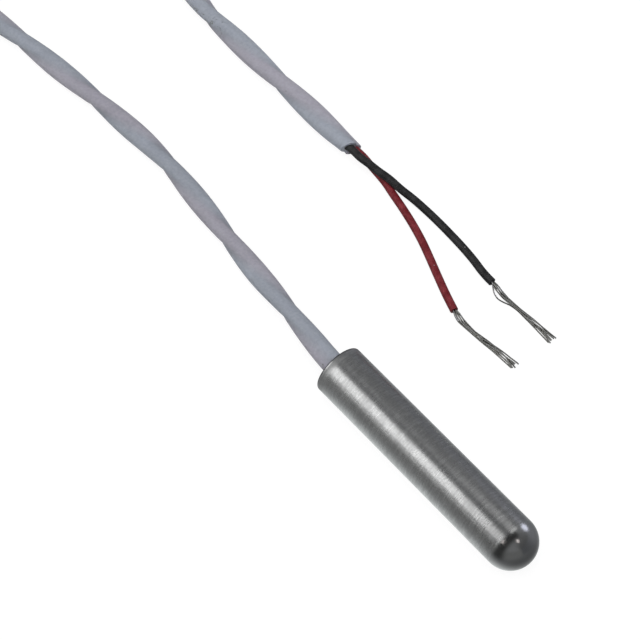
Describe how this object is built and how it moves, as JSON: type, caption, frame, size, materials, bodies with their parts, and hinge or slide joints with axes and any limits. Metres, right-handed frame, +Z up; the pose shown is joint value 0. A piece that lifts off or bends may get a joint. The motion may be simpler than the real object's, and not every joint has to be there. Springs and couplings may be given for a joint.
{
  "type": "resistance temperature detector probe",
  "caption": "Closed-end steel temperature probe with a platinum resistance element sealed in its domed tip and a twisted jacketed cable, wound in a tied coil, with stripped wire ends.",
  "frame": {"origin": "on the surface that the probe lies on, straight below the middle of the steel tube's length and axis", "axes": "+X along the steel tube towards its domed tip, +Z up from the surface that the probe lies on, +Y towards the cable's stripped end"},
  "size_m": [0.1462, 0.0376, 0.0063],
  "materials": {
    "sheath_steel": "finely brushed stainless steel, brighter and smoother on the dome",
    "potting_cement": "matte filled cement",
    "liner_film": "amber polyimide, glossy",
    "seal_resin": "dark cast resin, glossy",
    "chip_ceramic": "matte alumina",
    "platinum": "satin platinum film",
    "element_glass": "glazed, slightly cloudy",
    "lead_metal": "drawn wire, bright",
    "splice_metal": "tin-plated, satin",
    "insulation_black": "black fluoropolymer, satin gloss",
    "insulation_red": "dark red fluoropolymer, satin gloss",
    "conductor": "tinned copper strands, satin",
    "jacket": "milky grey-white fluoropolymer, satin, a little translucent",
    "tie_plastic": "natural white, satin"
  },
  "bodies": {
    "root": {"sheath_tube": "sheath_steel", "tip_potting": "potting_cement", "liner_tube": "liner_film", "end_seal": "seal_resin", "element_chip": "chip_ceramic", "platinum_film": "platinum", "cover_glass": "element_glass", "lead_bead": "element_glass", "element_lead_black": "lead_metal", "element_lead_red": "lead_metal", "splice_black": "splice_metal", "splice_red": "splice_metal", "splice_sleeve_black": "liner_film", "splice_sleeve_red": "liner_film", "inner_wire_black": "insulation_black", "inner_wire_red": "insulation_red", "inner_core_black": "conductor", "inner_core_red": "conductor", "jacket_entry": "jacket", "jacket_probe_side": "jacket", "jacket_coil": "jacket", "jacket_tail": "jacket", "coil_tie": "tie_plastic", "wire_black": "insulation_black", "wire_red": "insulation_red", "strands_black": "conductor", "strands_red": "conductor"}
  },
  "joints": []
}
